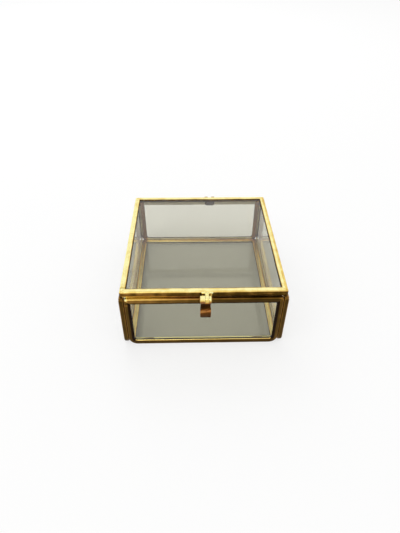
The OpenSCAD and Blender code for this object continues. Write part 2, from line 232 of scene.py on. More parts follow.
def brass(name, base, up, wear, painted_shade, blotch=0.35, grain=0.25, copper=False):
    """Brass under patina, with painted light and shade. Its level runs from black patina at 0
    to bare bright brass at 1: it starts at base, rises on worn edges and, as painted light, on
    faces that look up, and falls with painted shade, rising instead where a highlight is painted.
    Blotch and grain are the shares of cloudy and streaky patina. Tinned faces are pale
    and dull."""
    tones = colours()
    material, output = new_material(name)
    tree = material.node_tree
    place = node(tree, "ShaderNodeTexCoord").outputs["Object"]
    along = node(tree, "ShaderNodeMapping", {
        "Vector": attribute(tree, "strip").outputs["Vector"],
        "Scale": (STREAKS_ALONG, STREAKS_ACROSS, 1.0)}).outputs[0]
    blotches = noise_at(tree, place, BLOTCHES, 5.0, 0.6)
    streaks = noise_at(tree, along, 1.0, 3.0)
    specks = noise_at(tree, place, SPECKS, 3.0)
    # Painted light: up makes faces that look up lighter, as if lit from above. The painted shade
    # attribute darkens where shade is painted and, below nothing, lightens as a painted
    # highlight.
    painted_top_light = attribute(tree, "up").outputs["Fac"]
    speckle = 0.08
    level = weighted_sum(
        tree, base - 0.5 * (blotch + grain + speckle), (painted_top_light, up),
        (attribute(tree, "wear").outputs["Fac"], wear),
        (attribute(tree, "painted_shade").outputs["Fac"], -painted_shade),
        (blotches, blotch), (streaks, grain), (specks, speckle))
    level = maths(tree, "ADD", level, 0.0, clamp=True)
    patina = ramp(tree, level, [
        (0.0, tones.brass_black), (0.25, tones.copper_brown if copper else tones.brass_brown),
        (0.5, tones.copper if copper else tones.brass_tan),
        (0.75, tones.brass_gold), (1.0, tones.brass_cream)])
    tinned = maths(tree, "MULTIPLY", attribute(tree, "tinned").outputs["Fac"], weighted_sum(
        tree, 0.35, (blotches, 1.0)), clamp=True)
    tint = node(tree, "ShaderNodeMix", {
        "Factor": tinned, 6: patina, 7: (*tones.tinned, 1.0)}, data_type="RGBA").outputs[2]
    # Bright brass is the smoothest and tinned brass the dullest
    roughness = weighted_sum(tree, 0.4, (level, -0.26), (specks, 0.12), (tinned, 0.4))
    relief = node(tree, "ShaderNodeBump", {
        "Strength": 0.35, "Distance": 0.03 * MM,
        "Height": weighted_sum(tree, 0.0, (streaks, 0.6), (specks, 0.5), (blotches, 1.5))})
    shader = node(tree, "ShaderNodeBsdfPrincipled", {
        "Base Color": tint, "Metallic": 1.0, "Roughness": roughness,
        "Normal": relief.outputs[0]})
    tree.links.new(shader.outputs[0], output.inputs[0])
    return material


def solder_metal(name, base):
    """Solder under lacquer: dull gold grey, clouded, and brighter all over with a higher
    base."""
    tones = colours()
    material, output = new_material(name)
    tree = material.node_tree
    place = node(tree, "ShaderNodeTexCoord").outputs["Object"]
    clouds = noise_at(tree, place, CLOUDS, 4.0, 0.6)
    pits = noise_at(tree, place, PITS, 2.0)
    level = weighted_sum(tree, base, (clouds, 1.1), (pits, 0.35))
    tint = ramp(tree, level, [
        (0.0, tones.brass_brown), (0.45, tones.solder), (0.9, tones.brass_cream)])
    relief = node(tree, "ShaderNodeBump", {
        "Strength": 0.4, "Distance": 0.05 * MM,
        "Height": weighted_sum(tree, 0.0, (clouds, 1.0), (pits, 0.4))})
    shader = node(tree, "ShaderNodeBsdfPrincipled", {
        "Base Color": tint, "Metallic": 1.0,
        "Roughness": weighted_sum(tree, 0.28, (pits, 0.2)), "Normal": relief.outputs[0]})
    tree.links.new(shader.outputs[0], output.inputs[0])
    return material


def pane_glass(name, tint):
    """Clear glass with a faint tint and light finger smudges. Lamps shine through it."""
    material, output = new_material(name)
    tree = material.node_tree
    place = node(tree, "ShaderNodeTexCoord").outputs["Object"]
    smudges = noise_at(tree, place, SMUDGES, 6.0, 0.65)
    dust = noise_at(tree, place, DUST, 2.0)
    clean, haziest = 0.52, 0.35
    haze = maths(tree, "MULTIPLY", maths(tree, "SUBTRACT", smudges, clean, clamp=True), haziest)
    relief = node(tree, "ShaderNodeBump", {
        "Strength": 0.05, "Distance": 0.02 * MM, "Height": dust})
    glass = node(tree, "ShaderNodeBsdfPrincipled", {
        "Base Color": (*tint, 1.0), "Metallic": 0.0, "Roughness": haze, "IOR": 1.5,
        "Transmission Weight": 1.0, "Normal": relief.outputs[0]})
    clear = node(tree, "ShaderNodeBsdfTransparent", {"Color": (*tint, 1.0)})
    shadow = node(tree, "ShaderNodeLightPath").outputs["Is Shadow Ray"]
    mix = node(tree, "ShaderNodeMixShader", {
        0: shadow, 1: glass.outputs[0], 2: clear.outputs[0]})
    tree.links.new(mix.outputs[0], output.inputs[0])
    return material


# One brass throughout. up is the gain of painted light on faces that look up, and the shade gain
# weighs each piece's painted shade and highlights. The bases differ partly as painted light and
# shade: the lid and clasp are painted lighter, the walls, floor and hinge darker.
PATINAS = {
    "wall_patina_and_shade": {"base": 0.23, "up": 0.3, "wear": 0.16, "painted_shade": 0.3, "blotch": 0.2},
    "floor_patina_and_shade": {"base": 0.26, "up": 0.55, "wear": 0.2, "painted_shade": 0.5},
    "lid_patina_and_shade": {"base": 0.44, "up": 0.5, "wear": 0.2, "painted_shade": 0.75, "blotch": 0.6,
                   "grain": 0.5},
    "hinge_patina_and_shade": {"base": 0.24, "up": 0.1, "wear": 0.15, "painted_shade": 0.0},
    "clasp_patina_and_shade": {"base": 0.68, "up": 0.3, "wear": 0.15, "painted_shade": 0.75, "copper": True},
    "leaf_patina_and_shade": {"base": 0.34, "up": 0.2, "wear": 0.3, "painted_shade": 0.0},
}
# The clasp's solder has a higher base than the rest and is lighter all over
SOLDERS = {"lacquered_solder": -0.3, "lighter_solder": 0.15}


def material_named(name):
    """Makes a material on its first use."""
    made = bpy.data.materials.get(name)
    if made:
        return made
    if name in PATINAS:
        return brass(name, **PATINAS[name])
    if name in SOLDERS:
        return solder_metal(name, SOLDERS[name])
    return pane_glass(name, colours().glass)


# ---------- geometry nodes ----------

# Hammer marks on the brass and lumps in the solder, per metre
MARKS, LUMPS = 210.0, 330.0
# Angles past which an edge of the brass or of the glass is shaded sharp
SHARP_BRASS, SHARP_GLASS = math.radians(38), math.radians(20)


def new_tree(name, inputs):
    """A modifier tree with a geometry input and output and the given named inputs."""
    tree = bpy.data.node_groups.new(name, "GeometryNodeTree")
    tree.is_modifier = True
    tree.interface.new_socket("Geometry", in_out="INPUT", socket_type="NodeSocketGeometry")
    tree.interface.new_socket("Geometry", in_out="OUTPUT", socket_type="NodeSocketGeometry")
    for label, kind in inputs:
        tree.interface.new_socket(label, in_out="INPUT", socket_type=kind)
    return tree, tree.nodes.new("NodeGroupInput"), tree.nodes.new("NodeGroupOutput")


def close_tree(tree, start, end, geometry):
    """Ends a tree: real geometry, smooth faces, and its material."""
    real = node(tree, "GeometryNodeRealizeInstances", {"Geometry": geometry})
    smooth = node(tree, "GeometryNodeSetShadeSmooth", {"Geometry": real.outputs[0]})
    painted = node(tree, "GeometryNodeSetMaterial", {
        "Geometry": smooth.outputs[0], "Material": start.outputs["Material"]})
    tree.links.new(painted.outputs[0], end.inputs[0])


def hand_marks_tree():
    """Presses shallow marks into a surface, always inwards, where its worked attribute says."""
    tree, start, end = new_tree("Hand marks", [
        ("Depth", "NodeSocketFloat"), ("Marks per metre", "NodeSocketFloat"),
        ("Seed", "NodeSocketFloat"), ("Material", "NodeSocketMaterial")])
    worked = node(tree, "GeometryNodeInputNamedAttribute", {"Name": "worked"}, data_type="FLOAT")
    pattern = node(tree, "ShaderNodeTexNoise", {
        "W": start.outputs["Seed"], "Scale": start.outputs["Marks per metre"],
        "Detail": 2.0, "Roughness": 0.5}, noise_dimensions="4D")
    press = maths(tree, "MULTIPLY", maths(tree, "MULTIPLY", pattern.outputs[0], -1.0),
                  maths(tree, "MULTIPLY", start.outputs["Depth"], worked.outputs["Attribute"]))
    offset = node(tree, "ShaderNodeVectorMath", {
        0: node(tree, "GeometryNodeInputNormal").outputs[0], "Scale": press}, operation="SCALE")
    pressed = node(tree, "GeometryNodeSetPosition", {
        "Geometry": start.outputs["Geometry"], "Offset": offset.outputs[0]})
    close_tree(tree, start, end, pressed.outputs[0])
    return tree


def solder_run_tree():
    """Turns each line of a piece into a run of solder that swells and thins along it."""
    tree, start, end = new_tree("Solder run", [
        ("Radius", "NodeSocketFloat"), ("Step", "NodeSocketFloat"),
        ("Lumps per metre", "NodeSocketFloat"), ("Seed", "NodeSocketFloat"),
        ("Material", "NodeSocketMaterial")])
    line = node(tree, "GeometryNodeMeshToCurve", {"Mesh": start.outputs["Geometry"]})
    fine = node(tree, "GeometryNodeResampleCurve", {
        "Curve": line.outputs[0], "Length": start.outputs["Step"]}, mode="LENGTH")
    lumps = node(tree, "ShaderNodeTexNoise", {
        "W": start.outputs["Seed"], "Scale": start.outputs["Lumps per metre"],
        "Detail": 1.0}, noise_dimensions="4D").outputs[0]
    place = node(tree, "GeometryNodeSplineParameter").outputs["Factor"]
    from_middle = maths(tree, "ABSOLUTE", maths(
        tree, "SUBTRACT", maths(tree, "MULTIPLY", place, 2.0), 1.0))
    taper = maths(tree, "SUBTRACT", 1.06, maths(tree, "POWER", from_middle, 9.0))
    size = maths(tree, "MULTIPLY", maths(tree, "MULTIPLY", weighted_sum(
        tree, 0.35, (lumps, 1.3)), taper), start.outputs["Radius"])
    ring = node(tree, "GeometryNodeCurvePrimitiveCircle", {"Resolution": 12, "Radius": 1.0})
    run = node(tree, "GeometryNodeCurveToMesh", {
        "Curve": fine.outputs[0], "Profile Curve": ring.outputs["Curve"], "Scale": size,
        "Fill Caps": True})
    close_tree(tree, start, end, run.outputs[0])
    return tree


def through_tree(piece, tree_name, build, values):
    """Runs a piece through a geometry nodes tree and keeps the result as its plain mesh."""
    tree = bpy.data.node_groups.get(tree_name) or build()
    modifier = piece.modifiers.new(tree_name, "NODES")
    modifier.node_group = tree
    for item in tree.interface.items_tree:
        if item.in_out == "INPUT" and item.name in values:
            modifier[item.identifier] = values[item.name]
    graph = bpy.context.evaluated_depsgraph_get()
    baked = bpy.data.meshes.new_from_object(
        piece.evaluated_get(graph), preserve_all_data_layers=True, depsgraph=graph)
    raw = piece.data
    piece.modifiers.clear()
    piece.data = baked
    baked.name = piece.name
    bpy.data.meshes.remove(raw)
    return piece


def worked_finish(piece, material, depth=None):
    """Presses the hand-made marks into a brass piece and writes how far each point faces up,
    which its material reads to paint those faces lighter.
    """
    s = sizes()
    through_tree(piece, "Hand marks", hand_marks_tree, {
        "Depth": s.mark_depth if depth is None else depth, "Marks per metre": MARKS,
        "Seed": float(s.seed), "Material": material_named(material)})
    mesh = piece.data
    mesh.set_sharp_from_angle(angle=SHARP_BRASS)
    # Painted light: the brass material makes points whose normal looks up lighter
    up = mesh.attributes.new("up", "FLOAT", "POINT")
    up.data.foreach_set("value", [max(0.0, point.normal.z) ** 1.5 for point in mesh.vertices])


# ---------- mesh tools ----------

def mesh_object(name, points, faces, marks):
    """A closed mesh with outward faces and one attribute per mark:
    strip is a vector for each point, any other mark a number."""
    mesh = bpy.data.meshes.new(name)
    mesh.from_pydata(points, [], faces)
    shape = bmesh.new()
    shape.from_mesh(mesh)
    bmesh.ops.recalc_face_normals(shape, faces=shape.faces)
    shape.to_mesh(mesh)
    shape.free()
    for label, values in marks.items():
        if label == "strip":
            layer = mesh.attributes.new(label, "FLOAT_VECTOR", "POINT")
            layer.data.foreach_set("vector", [x for value in values for x in value])
        else:
            layer = mesh.attributes.new(label, "FLOAT", "POINT")
            layer.data.foreach_set("value", values)
    return new_object(name, mesh)


def tube_faces(rows, columns, first=0):
    """Quads between rings of equal length."""
    faces = []
    for row in range(rows - 1):
        here = first + row * columns
        for column in range(columns):
            after = (column + 1) % columns
            faces.append((here + column, here + after,
                          here + columns + after, here + columns + column))
    return faces


# ---------- channel frames ----------

class Panel:
    """A flat panel of the box: its size, and where its flat points lie in the box.
    Points are given across, up and through the panel, from its inner face outwards."""

    def __init__(self, node_name, across, up, out):
        low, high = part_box(node_name)
        self.node = node_name
        self.axes = [Vector(axis) for axis in (across, up, out)]
        (a0, a1), (b0, b1), (c0, c1) = (
            sorted((low.dot(axis), high.dot(axis))) for axis in self.axes)
        self.width, self.height, self.thick = a1 - a0, b1 - b0, c1 - c0
        self.start = Vector(((a0 + a1) / 2, b0, c0))

    def corners(self):
        """Its corners, clockwise from the upper left, each with its two headings."""
        half, top = self.width / 2, self.height
        places = ((-half, top), (half, top), (half, 0), (-half, 0))
        return [(Vector(place), HEADINGS[index - 1], HEADINGS[index])
                for index, place in enumerate(places)]

    def point(self, across, up, out):
        """A point of the panel in the box's frame."""
        local = Vector((across, up, out)) + self.start
        return sum((axis * value for axis, value in zip(self.axes, local)), Vector())


RIGHT, BACK, UP = (1, 0, 0), (0, 1, 0), (0, 0, 1)
LEFT, FRONT = (-1, 0, 0), (0, -1, 0)
PANELS = {
    "front": (RIGHT, UP, FRONT),
    "back": (LEFT, UP, BACK),
    "left": (FRONT, UP, LEFT),
    "right": (FRONT, UP, RIGHT),
    "floor": (RIGHT, BACK, UP),
    "lid": (RIGHT, FRONT, UP),
}
# Ways along a strip's runs, clockwise from the top run
HEADINGS = [Vector((1, 0)), Vector((0, -1)), Vector((-1, 0)), Vector((0, 1))]
# Radius of a lip round a folded corner, and shares of the fold that get a section
LIP_CORNER = 0.25 * MM
FOLD_STOPS = (0, 0.1, 0.2, 0.29, 0.37, 0.44, 0.485, 0.5, 0.515, 0.56, 0.63, 0.71, 0.8, 0.9, 1)
# Degrees between the sections of a round corner, and between the points of a long bend
CORNER_STEP, BEND_STEP = 6, 15
# Shares of a leg that get a point on its outer face, and the one where it starts to lean in
LEG_PARTS = (0.87, 0.79, 0.68, 0.55, 0.42, 0.32)
LEAN_START = 0.42
# Wear of a lip's points, of a leg's outer face and of the ends of a bend
LIP_WEAR, FACE_WEAR, BEND_END_WEAR = (0.45, 0.75, 0.6), 0.12, 0.15
# Lengths of the waves in the trimmed lips, the pressed faces and the strip's edge
TRIM_WAVE, PRESS_WAVE, EDGE_WAVE = 0.021, 0.013, 0.017
# Level under which a point is on the inner leg
INNER_LEVEL = 0.3
# How tinned the inner leg of each run of an upright panel is, and over which share of the
# way across the panel
TINNED_SHARE = {"top": 0.9, "right": 0.4, "low": 0.8, "left": 0.4}
TINNED_FROM, TINNED_TO = 0.04, 0.96
# Painted shade on the inner faces inside the groove, but for the low run, which gets none
GROOVE_SHADE = 1.5


def step_up(value, low, high):
    """Goes evenly from 0 at low to 1 at high."""
    return min(1.0, max(0.0, (value - low) / (high - low)))


def step_down(value, low, high):
    """Goes evenly from 1 at low to 0 at high."""
    return min(1.0, max(0.0, (high - value) / (high - low)))


def lip_band(depth, width):
    """A band of the given width along the lips, with a soft edge."""
    start = sizes().leg - width
    return step_up(depth, start, start + 0.4 * MM)


def run_of(inwards):
    """Which run of a strip faces inwards like this."""
    if abs(inwards.y) >= abs(inwards.x):
        return "top" if inwards.y < 0 else "low"
    return "right" if inwards.x < 0 else "left"


# The next three give the painted shade at a point of a strip, from its depth below the strip's
# edge, its level from the inner face at 0 to the outer face at 1, its run, and its share of the
# way across the panel. It is less than nothing where a highlight is painted.

def wall_painted_light(depth, level, run, share):
    """Painted light on a wall's strip. The inner legs get a painted highlight, the lips of the
    uprights painted shade that is nearly black, the lower lip a painted highlight, and the top
    run painted shade that deepens across the panel, with painted highlights at its ends."""
    # Painted highlight on the inner legs, strongest on the low run
    if level < INNER_LEVEL and depth > sizes().bend:
        return -1.5 if run == "low" else -0.5
    if run == "low":
        # Painted highlight along the lower lip; the rest of the low run gets a little painted
        # shade
        return 0.2 - 1.8 * lip_band(depth, 0.4 * MM)
    if run == "top":
        # Painted shade on the top run, deepening rightwards from a painted highlight at the left,
        # with more at the bend under the lid and along the lip
        face = 0.7 * step_up(share, 0.15, 0.75) - 0.3
        edge = 0.6 * step_up(share, 0.2, 0.6) * step_down(depth, 0.4 * MM, 0.8 * MM)
        lip = 0.8 * lip_band(depth, 0.9 * MM)
        # Painted highlights at the ends of the top run
        end_highlight = 2.0 * step_down(share, 0.008, 0.025) + 0.5 * step_up(share, 0.96, 0.99)
        return face + edge + lip - end_highlight * step_down(depth, 1.0 * MM, 1.8 * MM)
    # Painted shade, nearly black, along the lips of the uprights, and a little near their edge
    lip = 1.6 * lip_band(depth, 1.5 * MM)
    return lip + 0.2 * step_down(depth, 0.2 * MM, 0.9 * MM)


def lid_painted_light(depth, level, run, share):
    """Painted shade on the lid's strip: along the lips, on the underside and along its edge,
    which is lightest at the left of the front, and along the outer edge of the right run. The
    hanging lip gets a painted highlight there and painted shade further right."""
    # Painted highlight on the hanging lip at the left, painted shade on it further right
    if run == "top" and depth <= sizes().bend and level < 0.0:
        return 0.45 - 0.8 * step_down(share, 0.25, 0.5)
    if run == "top":
        edge = step_down(depth, 0.45 * MM, 1.3 * MM) * (0.2 + 0.14 * step_up(share, 0.1, 0.7))
    else:
        edge = 0.5 * step_down(level, 0.35, 0.8)
    under = 0.3 * step_down(level, 0.0, 0.12) if depth > sizes().bend else 0.0
    rim = 0.3 * step_down(depth, 1.2 * MM, 2.0 * MM) if run == "right" else 0.0
    return max(lip_band(depth, 0.6 * MM), edge + rim, under)


def floor_painted_light(depth, level, run, share):
    """Painted light on the floor's strip: painted shade in the corner that it makes with the
    walls and along the lips of the side runs. The front run gets a painted highlight, and the
    back run painted shade that deepens rightwards and a painted highlight on its lip."""
    if run == "low":
        return -0.6
    if run == "top":
        return 0.3 + 0.3 * step_up(share, 0.2, 0.7) - 1.4 * lip_band(depth, 0.4 * MM)
    return max(0.8 * lip_band(depth, 0.5 * MM), 0.5 * step_down(depth, 1.0 * MM, 1.5 * MM))


def corner_arm(before, after, turn):
    """Way out from a corner's centre, after a turn from one heading towards the next."""
    return before * math.sin(turn) - after * math.cos(turn)


def channel_section(thick):
    """Section of a channel as pairs of outer and inner points, from one lip round to the
    other. Each point has its depth, its height through the panel and how worn it is."""
    s = sizes()
    leg, sheet, bend, drop = s.leg, s.sheet, s.bend, s.lip_drop
    inner_bend = bend - sheet
    lip = 0.3 * sheet
    end, rim, face = LIP_WEAR
    half = [
        ((leg, drop + lip, end), (leg, sheet)),
        ((leg - 0.3 * lip, drop + 0.3 * lip, rim), (leg - 0.3 * lip, sheet)),
        ((leg - lip, drop, face), (leg - lip, sheet)),
    ]
    crown = LEAN_START * leg
    for part in LEG_PARTS:
        fall = drop * (max(0.0, part * leg - crown) / (leg - crown)) ** 2
        half.append(((part * leg, fall, FACE_WEAR), (part * leg, sheet)))
    for turn in range(0, 91, BEND_STEP):
        angle = math.radians(turn)
        wear = math.sin(2 * angle) ** 0.7 if 0 < turn < 90 else BEND_END_WEAR
        half.append((
            (bend - bend * math.sin(angle), bend - bend * math.cos(angle), wear),
            (bend - inner_bend * math.sin(angle), bend - inner_bend * math.cos(angle))))
    middle = [((0.0, thick / 2, 0.0), (sheet, thick / 2))]
    far = [((d, thick - h, w), (e, thick - g)) for (d, h, w), (e, g) in reversed(half)]
    return half + middle + far


def bent_corner(centre, before, after, radius, leg):
    """Stations round a corner of a strip that keeps its radius."""
    arms = [corner_arm(before, after, math.radians(angle))
            for angle in range(0, 91, CORNER_STEP)]
    return [(centre + arm * radius, centre + arm * (radius - leg), 0.0, leg) for arm in arms]


def folded_corner(corner, before, after, radius, legs):
    """Stations round a corner of a strip whose lips meet in a creased fold. The strip comes
    in along before and leaves along after."""
    leg_in, leg_out = legs
    centre = corner + (after - before) * radius
    coming = leg_out + LIP_CORNER - radius
    leaving = leg_in + LIP_CORNER - radius
    arc = radius * math.pi / 2
    lip_centre = corner + after * (leg_in + LIP_CORNER) - before * (leg_out + LIP_CORNER)
    crease_share = 0.03
    stations = []
    for stop in FOLD_STOPS:
        if stop < 0.5:
            gone = stop * (2 * coming + arc)
        else:
            gone = coming + arc / 2 + (stop - 0.5) * (2 * leaving + arc)
        if gone < coming:
            outer = corner - before * (coming + radius - gone)
        elif gone > coming + arc:
            outer = corner + after * (gone - arc - coming + radius)
        else:
            outer = centre + corner_arm(before, after, (gone - coming) / radius) * radius
        inner = lip_centre + corner_arm(before, after, stop * math.pi / 2) * LIP_CORNER
        crease = max(0.0, 1 - abs(stop - 0.5) / crease_share)
        stations.append((outer, inner, crease, leg_in + (leg_out - leg_in) * stop))
    return stations


def run_stations(first, last, step):
    """Evenly spaced sections between two, both ends left out."""
    count = max(2, round((last[0] - first[0]).length / step))
    return [(first[0].lerp(last[0], i / count), first[1].lerp(last[1], i / count), 0.0, last[3])
            for i in range(1, count)]


def strip_stations(panel, fold, round_low, low_leg):
    """Stations along one strip bent round a panel, clockwise from the end that is folded
    over the panel's upper left corner: the outer and the inner point, the crease and the
    leg. The strip's low run may have a shorter leg."""
    s = sizes()
    run_legs = [s.leg, s.leg, s.leg, low_leg]
    stations = []
    for index, (corner, before, after) in enumerate(panel.corners()):
        legs = run_legs[index], run_legs[(index + 1) % 4]
        if round_low and index > 1:
            turn = bent_corner(corner + (after - before) * s.corner, before, after,
                               s.corner, legs[0])
        else:
            turn = folded_corner(corner, before, after, fold, legs)
        if stations:
            stations += run_stations(stations[-1], turn[0], s.step)
        stations += turn
    gap = Vector((0, s.seam_gap))
    outer, inner, _, leg = stations[0]
    end = (outer - gap, inner - gap, 0.0, leg)
    return stations + run_stations(stations[-1], end, s.step) + [end]


def hanging_lip(spot, bend, sheet, hang, drop):
    """Where a point of a channel's lower bend goes when the bend is drawn out into a lip."""
    depth, height = spot
    lip = [(1.5 * sheet, 0.0), (1.15 * sheet, 0.0), (sheet, -0.75 * drop), (0.8 * sheet, -drop),
           (0.2 * sheet, -drop), (0.0, -0.75 * drop), (0.0, 0.5 * bend)]
    turn = math.atan2(bend - depth, bend - height)
    wanted = lip[round(turn / math.radians(BEND_STEP))]
    return depth + (wanted[0] - depth) * hang, height + (wanted[1] - height) * hang


def filed_lip(spot, thick):
    """Where a point of a channel's section goes when its lips are filed to a slope."""
    s = sizes()
    depth, height = spot
    flat = LEG_PARTS[0] * s.leg
    if depth < flat - 0.1 * MM:
        return spot
    part = (depth - flat) / (s.leg - flat)
    fall = (0.05 + 0.75 * part) * s.sheet
    return s.leg - s.low_slope * (1 - part), fall if height < thick / 2 else thick - fall


def uneven_rows(section, along, key):
    """The section's pairs at one place along a strip, each with how far its lip is trimmed
    and its face is pressed there. Each wave has a place of its own in the noise."""
    s = sizes()
    middle = len(section) // 2
    rows = []
    for side, pairs in ((0, section[:middle]), (1, section[middle:])):
        trim = s.lip_wave * wander(along / TRIM_WAVE, key, side * 9.0) / s.leg
        press = s.side_wave * abs(wander(along / PRESS_WAVE, key + 31, side * 5.0))
        rows += [(pair, trim, press) for pair in pairs]
    return rows


def strip_faces(count, wide):
    """Faces of a strip of so many sections, each with so many outer and inner points."""
    loop = list(range(wide)) + list(range(2 * wide - 1, wide - 1, -1))
    faces = []
    for number in range(count - 1):
        here, there = number * 2 * wide, (number + 1) * 2 * wide
        for one, two in zip(loop, loop[1:] + loop[:1]):
            faces.append((here + one, here + two, there + two, there + one))
    for start in (0, (count - 1) * 2 * wide):
        for one in range(wide - 1):
            faces.append((start + one, start + one + 1,
                          start + wide + one + 1, start + wide + one))
    return faces


def channel_strip(name, panel, fold, round_low, painted_shade_at, low_leg=None, lip=0.0):
    """One strip of channel bent round a panel, with trimmed lips, pressed faces and
    creased folds that are a little uneven, as handwork is. Its top run may have a lip that
    hangs past its inner face."""
    s = sizes()
    section = channel_section(panel.thick)
    stations = strip_stations(panel, fold, round_low, low_leg or s.leg)
    key = sum(map(ord, name)) * 0.13
    upright = panel.axes[2].z == 0
    across = [0.0]
    for (one, _), (two, _) in zip(section, section[1:]):
        across.append(across[-1] + math.dist(one[:2], two[:2]))
    points, marks = [], {"strip": [], "wear": [], "worked": [], "painted_shade": [], "tinned": []}
    along = 0.0
    for number, (outer, inner, crease, leg) in enumerate(stations):
        if number:
            earlier = stations[number - 1]
            along += ((outer + inner) / 2 - (earlier[0] + earlier[1]) / 2).length
        rows = uneven_rows(section, along, key)
        pull = 0.6 * s.side_wave * abs(wander(along / EDGE_WAVE, key + 77))
        inwards = (inner - outer).normalized()
        run, share = run_of(inwards), outer.x / panel.width + 0.5
        from_end = panel.width / 2 - abs(outer.x) - s.bend
        hang = step_up(from_end, 0.0, MM) if lip and run == "top" else 0.0
        tin = TINNED_SHARE[run] if upright and TINNED_FROM < share < TINNED_TO else 0.0
        groove = 0.0 if run == "low" else GROOVE_SHADE
        for ring in (0, 1):
            outside = ring == 0
            for place, (pair, trim, press) in enumerate(rows):
                depth, height = pair[ring][:2]
                if outside and hang and depth <= s.bend and height <= s.bend:
                    depth, height = hanging_lip((depth, height), s.bend, s.sheet, hang, lip)
                if outside and run == "low":
                    depth, height = filed_lip((depth, height), panel.thick)
                reach = depth
                if depth > s.bend:
                    reach = s.bend + (depth - s.bend) * (leg - s.bend) / (s.leg - s.bend)
                part = reach / leg
                spot = outer.lerp(inner, part * (1 + trim * part))
                spot = spot + inwards * (pull + crease * s.crease * 0.5) * (1 - part)
                sink = press * (0.4 + 0.6 * part) + crease * s.crease * outside
                level = height
                if abs(height - panel.thick / 2) > s.bend * 0.9:
                    level += sink if height < panel.thick / 2 else -sink
                points.append(panel.point(spot.x, spot.y, level))
                marks["strip"].append((along, across[place], key))
                marks["wear"].append(pair[0][2] * (1 - crease) if outside else 0.0)
                marks["worked"].append(1.0 if outside else 0.0)
                # Painted light: painted shade and highlights on the outside from the given
                # function, and painted shade inside the groove
                marks["painted_shade"].append(
                    painted_shade_at(depth, height / panel.thick, run, share) if outside else groove)
                inner_leg = height < INNER_LEVEL * panel.thick and depth > s.bend
                marks["tinned"].append(tin if outside and inner_leg else 0.0)
    return mesh_object(name, points, strip_faces(len(stations), len(section)), marks)


# ---------- panes ----------

# Radius of a pane's square corners, and degrees between the points of any corner
PANE_CORNER, PANE_STEP = 0.6 * MM, 10


def glass_pane(name, panel_name, round_low):
    """A pane with ground edges, in its own box, rounded at the lower corners where its
    frame is."""
    s = sizes()
    panel = Panel(f"{panel_name}_glass", *PANELS[panel_name])
    framed = Panel(f"{panel_name}_frame", *PANELS[panel_name])
    low_radius = s.corner - (framed.width - panel.width) / 2
    edge = s.pane_edge

    def outline(shrink):
        path = []
        for index, (corner, before, after) in enumerate(panel.corners()):
            radius = low_radius if round_low and index > 1 else PANE_CORNER
            centre = corner + (after - before) * radius
            path += [centre + corner_arm(before, after, math.radians(angle)) * (radius - shrink)
                     for angle in range(0, 91, PANE_STEP)]
        return path

    levels = [(0.0, edge), (edge * 0.4, edge * 0.25), (edge, 0.0),
              (panel.thick - edge, 0.0), (panel.thick - edge * 0.4, edge * 0.25),
              (panel.thick, edge)]
    points = [panel.point(spot.x, spot.y, level)
              for level, shrink in levels for spot in outline(shrink)]
    count = len(points) // len(levels)
    faces = tube_faces(len(levels), count)
    faces += [tuple(range(count)), tuple(range(len(points) - count, len(points)))]
    piece = mesh_object(name, points, faces, {})
    piece.data.materials.append(material_named("clear_glass"))
    piece.data.shade_smooth()
    piece.data.set_sharp_from_angle(angle=SHARP_GLASS)
    return piece


# ---------- hinge and clasp ----------

# Angles up to which an edge of a CAD node is dissolved, and past which it is broken
FLAT_EDGE, BROKEN_EDGE = math.radians(3), math.radians(28)
# Widths of the broken edges of the hinge and the clasp
HINGE_EDGE, CLASP_EDGE = 0.07 * MM, 0.1 * MM
# Depths of the hammer marks on small parts and on the strap
SMALL_MARKS, STRAP_MARKS = 0.02 * MM, 0.03 * MM
# Angles round the pin, from straight out, at which the left and the right knuckle's curl
# start and stop, and degrees between their points
CURL_START, LEFT_CURL_STOP, RIGHT_CURL_STOP, CURL_STEP = -38, 296, 282, 12
# How far the right knuckle sags, and how far from the knuckles the strap's full width starts
KNUCKLE_SAG, KNUCKLE_CLEAR = 0.12 * MM, 0.42 * MM
# Merging distance, marks and wear of a copied CAD node
MERGE, COPY_MARKS, COPY_WEAR = 0.002 * MM, 0.3, 0.8
# Edge radius, marks and wear of a bent sheet: at its ends, on its rims, beside them and on
# its faces
SHEET_EDGE, SHEET_MARKS = 0.16 * MM, 0.5
END_WEAR, RIM_WEAR, SIDE_WEAR, SHEET_WEAR = 0.7, 0.9, 0.35, 0.1
# Places on the hanging strap as shares of its length, and how far the waist and the knee
# reach. The waist and the tip are narrower, and the knee is a little askew.
WAIST_PLACE, KNEE_PLACE, BUMP_REACH, TIP_START, TIP_LENGTH = 0.18, 0.56, 0.16, 0.93, 0.07
WAIST_NARROWER, TIP_NARROWER, KNEE_SKEW = 0.28 * MM, 0.25 * MM, 0.22
# Painted shade along a knuckle and along the strap, as (share passed, shade); below nothing it is
# a painted highlight
KNUCKLE_SHADE = ((0.0, 0.75), (0.07, 0.45), (0.14, 0.1), (0.2, -0.1), (0.5, 0.1))
STRAP_SHADE = ((0.0, 0.5), (0.12, 0.75), (0.36, 0.95), (0.48, 0.75), (0.55, 0.6), (0.63, 0.55),
              (0.9, 0.68), (1.0, 0.85))
# Points along a wide face of a sheet, as shares of its width
SHEET_PARTS = (0.08, 0.3, 0.5, 0.7, 0.92)


